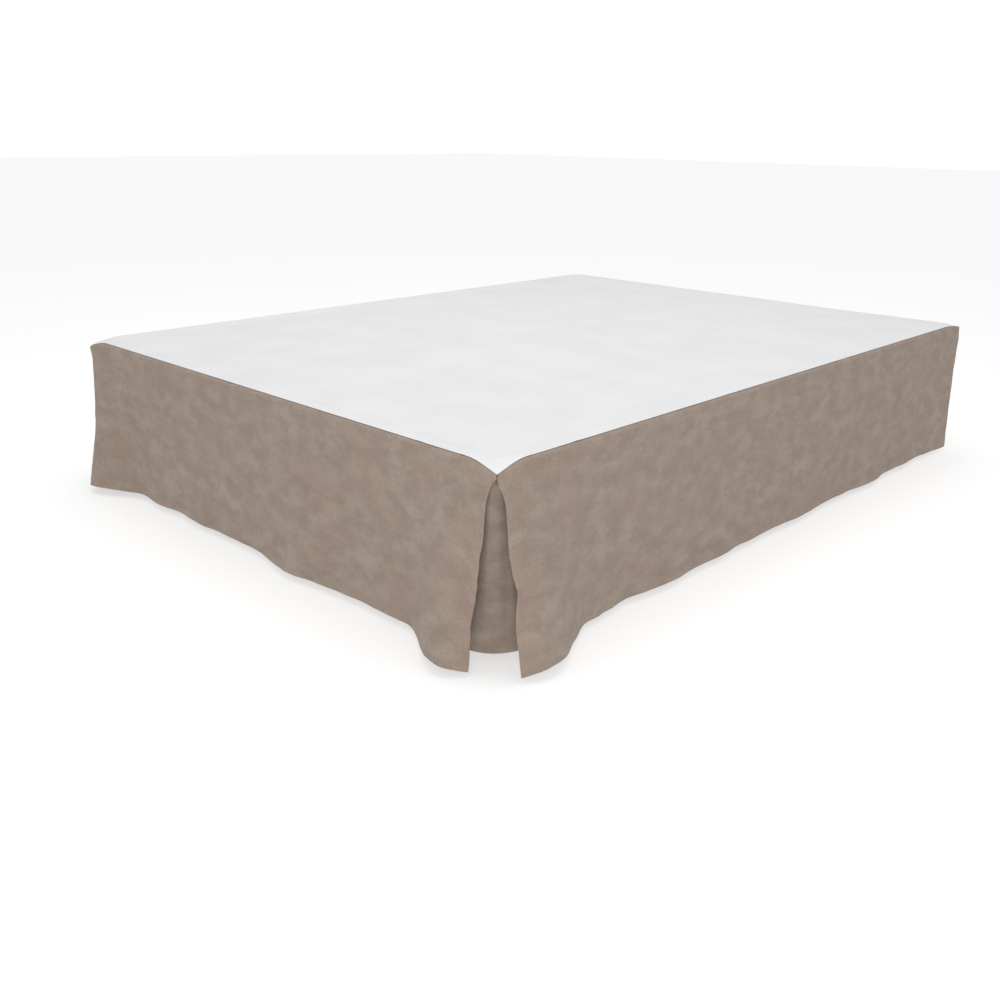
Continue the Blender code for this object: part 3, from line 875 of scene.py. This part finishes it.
def addInsert(node, side, seed, ridges):
    make = insertMake
    columns = np.linspace(-make["halfWidth"], make["halfWidth"], make["columns"])
    hemShare = 1.0 - make["hem"] / make["drop"]
    rows = np.concatenate((
        np.linspace(0.0, hemShare - 0.008, make["rows"] - 10),
        hemShare + np.array((-0.0035, -0.0012, 0.0012, 0.0035)),
        np.linspace(hemShare + 0.014, 0.985, 4), (0.9965, 1.0),
    ))
    piece = clothGrid(
        node + "_linen", columns, rows,
        lambda cloth, fall: insertPoint(side, seed, ridges, cloth, fall),
        lambda cloth, fall: np.stack((cloth + 0.4 * seed, fall * make["drop"]), axis=-1),
        lambda cloth, fall: ease((fall - hemShare + 0.002) / 0.004),
        insertLinen,
    )
    across = np.arange(-make["halfWidth"] + 0.002, make["halfWidth"] - 0.002, dropMake["stitch"])
    stitches = addStitches(
        node + "_linen_stitches", [(across, hemShare + 0.006 + 0 * across)],
        lambda cloth, fall: insertPoint(side, seed, ridges, cloth, fall),
        linenThread, dict(stitchLift, side=-side),
    )
    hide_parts(node)
    print("insert made:", node)


# ridges: cloth, down, to cloth, to down, half width, out
addInsert("insert_right", 1, 51, (
    (-0.012, 0.030, -0.020, 0.330, 0.014, 0.0030),
    (0.016, 0.050, 0.022, 0.340, 0.016, -0.0030),
    (-0.040, 0.080, -0.046, 0.350, 0.016, -0.0024),
))
addInsert("insert_left", -1, 67, (
    (-0.010, 0.050, -0.016, 0.320, 0.016, 0.0026),
    (0.024, 0.060, 0.028, 0.350, 0.018, -0.0026),
))


# The white deck that the mattress lies on

deckMake = {
    "thickness": 0.0013,
    "edge": 0.010,          # the plain edge, in from the skirt's edge
    "edgeMargin": 0.001,
    "headInset": 0.024,
    "rise": 0.0028,         # it climbs over the linen that laps in under it
    "risesFrom": 0.052,
    "risesTo": 0.033,
    "rollDown": 0.0009,
    "headHem": 0.012,
    "fine": 0.0052,
    "coarse": 0.020,
    "edgeColumns": (0.0, 0.0007, 0.0016, 0.0030, 0.0055),
    "stitch": 0.0045,
    "swell": (0.0030, 0.34),    # up, size
    "wave": (0.0011, 0.11),
    "ripple": (0.0006, 0.045),
    "pucker": (0.0010, 0.016),
}
# soft ridges and puckers by the near corner: x and y from the corner, to x and y, half width, up
deckRidges = (
    (0.155, 0.034, 0.400, 0.052, 0.011, 0.0016),
    (0.070, 0.028, 0.130, 0.060, 0.014, 0.0018),
    (0.050, 0.014, 0.066, 0.052, 0.010, 0.0013),
    (0.095, 0.012, 0.120, 0.048, 0.011, 0.0015),
    (0.014, 0.090, 0.050, 0.150, 0.012, 0.0012),
    (0.012, 0.220, 0.060, 0.300, 0.014, 0.0012),
    (0.030, 0.055, 0.085, 0.120, 0.014, 0.0012),
    (0.210, 0.013, 0.235, 0.070, 0.013, 0.0012),
)


def deckPoint(across, back):
    # across runs from -halfWidth to halfWidth, back from 0 at the foot edge
    y = footY + back
    fromSide = halfWidth - np.abs(across)
    fromFoot = back
    sideEdge = rollRadius(np.minimum(back, headY - y)) + deckMake["edgeMargin"]
    footEdge = rollRadius(fromSide) + deckMake["edgeMargin"]
    nearSide = bump(fromSide - deckMake["edge"], 0.03)
    nearFoot = bump(fromFoot - deckMake["edge"], 0.03)
    x = across + np.sign(across) * (deckMake["edge"] - sideEdge) * nearSide
    y = y - (deckMake["edge"] - footEdge) * nearFoot

    inside = np.minimum(halfWidth - np.abs(x), y - footY)
    rise = deckMake["rise"] * ease(
        (deckMake["risesFrom"] - inside) / (deckMake["risesFrom"] - deckMake["risesTo"]))
    (swellUp, swellSize), (waveUp, waveSize) = deckMake["swell"], deckMake["wave"]
    (rippleUp, rippleSize), (puckerUp, puckerSize) = deckMake["ripple"], deckMake["pucker"]
    swell = swellUp * (0.5 + 0.5 * softNoise(x + 2, y + 3, swellSize, 81))
    swell += waveUp * (0.5 + 0.5 * softNoise(x + 2, y + 3, waveSize, 82))
    swell += rippleUp * (0.5 + 0.5 * softNoise(x + 1.2 * y + 4, y - x + 4, rippleSize, 83))
    inner = ease((inside - 0.012) / 0.05)
    onEdge = np.where(fromSide < fromFoot, y, x)
    puckers = 0.5 + 0.5 * softNoise(onEdge + 3, inside * 0.3 + 1, puckerSize, 84)
    edgePucker = puckerUp * puckers * bump(inside - 0.020, 0.014)
    ridges = creaseRelief(deckRidges, halfWidth - x, y - footY, bump)
    roll = deckMake["rollDown"] * ease((0.0135 - np.minimum(fromSide, fromFoot)) / 0.0035)
    height = deckHeight + rise - cornerDroop(x, y) + swell * inner + edgePucker + ridges - roll
    return np.stack((x, y, height), axis=-1)


def addDeck():
    first = deckMake["edgeColumns"]
    edge = deckMake["edge"]
    span = 2 * (halfWidth - edge)
    columns = columnPlaces(span, deckMake["fine"], deckMake["coarse"], first) - halfWidth + edge
    deep = headY - footY - edge - deckMake["headInset"]
    rows = columnPlaces(deep, deckMake["fine"], deckMake["coarse"], first) + edge
    hemEdge = deckMake["headHem"] + 0.002
    lastRow = rows[-1]
    piece = clothGrid(
        "deck_cotton_sheet", columns, rows, deckPoint,
        lambda across, back: np.stack((across + 5.0, back), axis=-1),
        lambda across, back: 0.0 * across + ease((hemEdge - (lastRow - back)) / 0.004),
        cotton, deckMake["thickness"] * 1.25,
    )
    across = np.arange(-halfWidth + 0.02, halfWidth - 0.02, deckMake["stitch"])
    stitches = addStitches(
        "deck_cotton_stitches", [(across, lastRow - deckMake["headHem"] + 0 * across)],
        deckPoint, cottonThread, dict(stitchLift, side=-1.0),
    )
    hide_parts("deck")
    print("deck made:", len(columns), "by", len(rows))


addDeck()


# The plain base

baseMake = {
    "cornerRadius": 0.085,
    "cornerSegments": 14,
    "edgeRadius": 0.010,
    "edgeSegments": 5,
}


def bevelEdges(builder, edges, radius, segments):
    bmesh.ops.bevel(
        builder, geom=edges, offset=radius, affect="EDGES", segments=segments,
        profile=0.5, material=-1,
    )


def addBase():
    size = baseHigh - baseLow
    builder = bmesh.new()
    bmesh.ops.create_cube(builder, size=1.0)
    bmesh.ops.scale(builder, vec=size, verts=builder.verts)
    bmesh.ops.translate(builder, vec=(baseLow + baseHigh) / 2, verts=builder.verts)

    def isUpright(edge):
        return abs(edge.verts[0].co.z - edge.verts[1].co.z) > size.z / 2

    upright = [edge for edge in builder.edges if isUpright(edge)]
    bevelEdges(builder, upright, baseMake["cornerRadius"], baseMake["cornerSegments"])
    rims = [edge for edge in builder.edges if not isUpright(edge)]
    bevelEdges(builder, rims, baseMake["edgeRadius"], baseMake["edgeSegments"])
    piece = finishObject("bed_base_cover", builder, cover, 40)
    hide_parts("bed_base")
    print("base made")


addBase()

legMake = {
    "glide": 0.004,
    "glideRadius": 0.019,
    "footRadius": 0.022,
    "topRadius": 0.030,
    "shoulder": 0.010,
    "sides": 40,
    "edgeRound": 0.0006,
    "sharpAngle": 35,
}


def addLeg(node):
    low, high = (Vector(corner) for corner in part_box(node))
    centre = (low + high) / 2
    height = high.z - low.z
    foot, top = legMake["footRadius"], legMake["topRadius"]
    pad, glide, shoulder = legMake["glideRadius"], legMake["glide"], height - legMake["shoulder"]
    profile = (   # radius and height, from the floor up
        (0.0, 0.0), (pad, 0.0), (pad, glide), (foot - 0.0015, glide), (foot, glide + 0.0015),
        (foot + (top - foot) * 0.30, height * 0.30), (foot + (top - foot) * 0.62, height * 0.62),
        (top - 0.0004, shoulder), (top - 0.0020, shoulder + 0.0015),
        (top - 0.0020, height - 0.0040), (top - 0.0004, height - 0.0025), (top - 0.0004, height),
        (0.0, height),
    )
    builder = bmesh.new()
    verts = [builder.verts.new((radius, 0.0, z)) for radius, z in profile]
    edges = [builder.edges.new(pair) for pair in zip(verts, verts[1:])]
    bmesh.ops.spin(
        builder, geom=verts + edges, cent=(0, 0, 0), axis=(0, 0, 1), angle=2 * math.pi,
        steps=legMake["sides"], use_merge=True,
    )
    bmesh.ops.remove_doubles(builder, verts=builder.verts, dist=0.00001)
    bmesh.ops.recalc_face_normals(builder, faces=builder.faces)
    bmesh.ops.translate(builder, vec=(centre.x, centre.y, low.z), verts=builder.verts)
    piece = finishObject(node + "_turned", builder, wood, legMake["sharpAngle"])
    roundEdges(piece, legMake["edgeRound"], legMake["sharpAngle"])
    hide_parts(node)


for number in range(1, 7):
    addLeg(f"leg_{number}")
print("legs made")


# Floor, light and camera

studio = {
    "floorSize": 60.0,
    "zenith": 0.80,
    "horizon": 0.42,
    "floorGlow": 0.56,
    "floorTones": ((0.50, 0.50, 0.50), (0.52, 0.52, 0.52)),
    "backdrop": 1.1,
    "lens": 36.655,
    "cameraSpot": (1.90266, -2.16125, 0.94091),
    "cameraTurn": (69.9946, -0.7264, 44.0005),
}
# spot, aim, size, watts, colour
lamps = {
    "topLight": ((0.2, -0.2, 3.4), (0.0, 0.0, 0.0), 3.0, 34.0, (1.0, 1.0, 1.0)),
    "keyLight": ((2.3, -2.7, 1.3), (0.6, -0.8, 0.2), 0.9, 18.0, (1.0, 0.985, 0.965)),
}


def addFloor():
    builder = bmesh.new()
    bmesh.ops.create_grid(builder, x_segments=1, y_segments=1, size=studio["floorSize"] / 2)
    mesh = bpy.data.meshes.new("floor")
    builder.to_mesh(mesh)
    builder.free()
    material, tree, shader = newMaterial(
        "floorPaint", Roughness=0.9, Specular_IOR_Level=0.1, Emission_Strength=studio["floorGlow"])
    spot = tree.nodes.new("ShaderNodeTexCoord").outputs["Object"]
    cloudy = noiseNode(tree, spot, 1.5, 2.0)
    feed(tree, shader.inputs["Base Color"], mixColour(tree, cloudy, *studio["floorTones"]))
    shader.inputs["Emission Color"].default_value = (1.0, 1.0, 1.0, 1.0)
    mesh.materials.append(material)
    floor = bpy.data.objects.new("floor", mesh)
    bpy.context.collection.objects.link(floor)


def addLight(name, spot, aim, size, watts, colour):
    light = bpy.data.lights.new(name, "AREA")
    light.shape = "DISK"
    light.size = size
    light.energy = watts
    light.color = colour
    lamp = bpy.data.objects.new(name, light)
    lamp.location = spot
    lamp.rotation_euler = (Vector(aim) - Vector(spot)).to_track_quat("-Z", "Y").to_euler()
    bpy.context.collection.objects.link(lamp)


def addWorld():
    world = bpy.data.worlds.new("softRoom")
    world.use_nodes = True
    tree = world.node_tree
    background = tree.nodes["Background"]
    spot = tree.nodes.new("ShaderNodeTexCoord").outputs["Generated"]
    parts = tree.nodes.new("ShaderNodeSeparateXYZ")
    feed(tree, parts.inputs[0], spot)
    high = rangeNode(tree, parts.outputs["Z"], 0.0, 0.8, studio["horizon"], studio["zenith"])
    seen = tree.nodes.new("ShaderNodeLightPath").outputs["Is Camera Ray"]
    strength = tree.nodes.new("ShaderNodeMix")
    feed(tree, strength.inputs["Factor"], seen)
    feed(tree, strength.inputs["A"], high)
    feed(tree, strength.inputs["B"], studio["backdrop"])
    background.inputs["Color"].default_value = (1.0, 1.0, 1.0, 1.0)
    feed(tree, background.inputs["Strength"], strength.outputs["Result"])
    bpy.context.scene.world = world


def addCamera():
    data = bpy.data.cameras.new("camera")
    data.sensor_width = 36.0
    data.lens = studio["lens"]
    data.clip_end = 200.0
    camera = bpy.data.objects.new("camera", data)
    camera.location = studio["cameraSpot"]
    camera.rotation_euler = [math.radians(angle) for angle in studio["cameraTurn"]]
    bpy.context.collection.objects.link(camera)
    bpy.context.scene.camera = camera


addFloor()
addWorld()
for lampName, values in lamps.items():
    addLight(lampName, *values)
addCamera()
bpy.context.scene.view_settings.view_transform = "Standard"
print("studio made")

bpy.context.view_layer.update()
